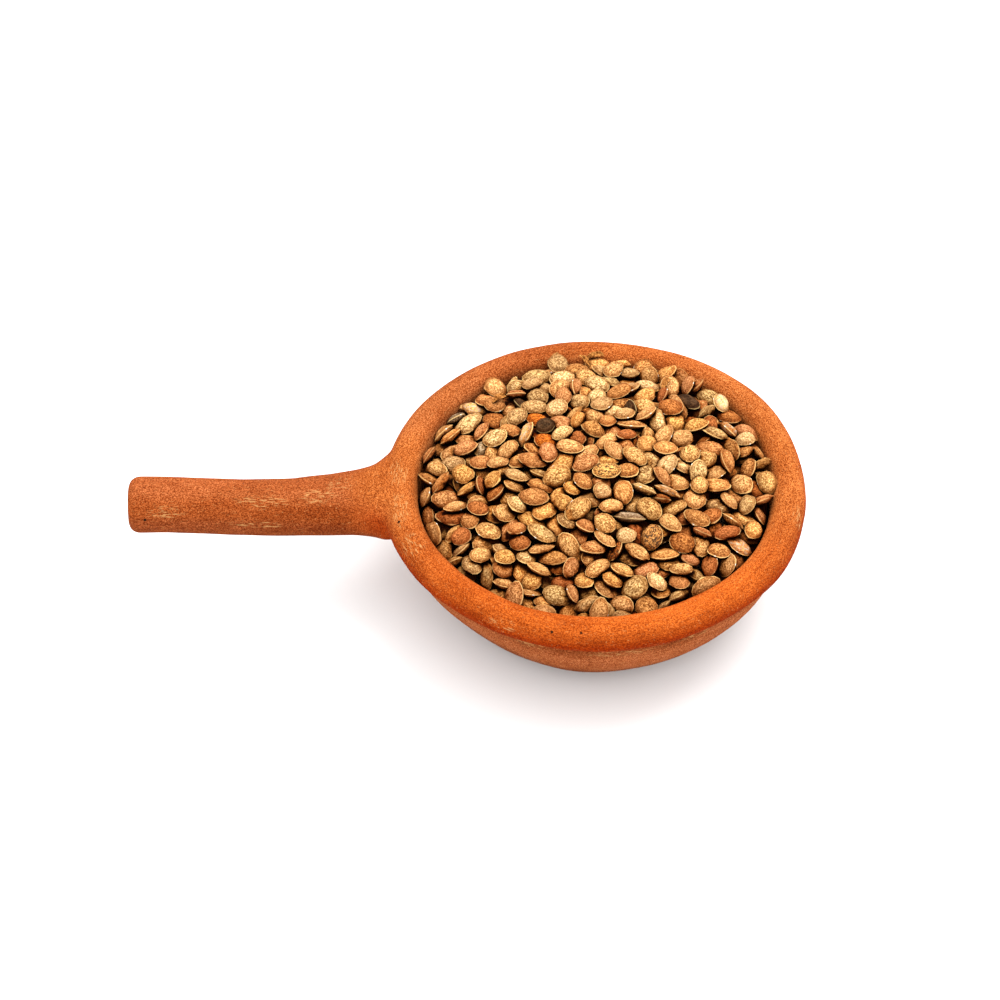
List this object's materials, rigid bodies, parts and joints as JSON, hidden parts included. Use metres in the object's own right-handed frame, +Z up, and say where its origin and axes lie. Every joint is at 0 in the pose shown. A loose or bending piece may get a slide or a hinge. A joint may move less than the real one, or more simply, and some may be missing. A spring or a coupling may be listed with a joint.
{
  "type": "bowl of horse gram",
  "caption": "Small round terracotta bowl with a rolled rim and one straight rod handle, heaped with dry horse gram.",
  "frame": {"origin": "centre of the bowl's flat foot, on the surface that it stands on", "axes": "+Z up out of the bowl's mouth, -X along the handle away from the bowl, +Y away from a viewer who has the handle on the left"},
  "size_m": [0.1538, 0.096, 0.0377],
  "materials": {
    "terracotta": "unglazed fired clay, matt, fine sandy grain",
    "gram_skins": "dry seed skins, tan to reddish brown, faint satin sheen"
  },
  "bodies": {
    "root": {"clay_bowl": "terracotta", "gram_heap": "gram_skins"}
  },
  "joints": []
}
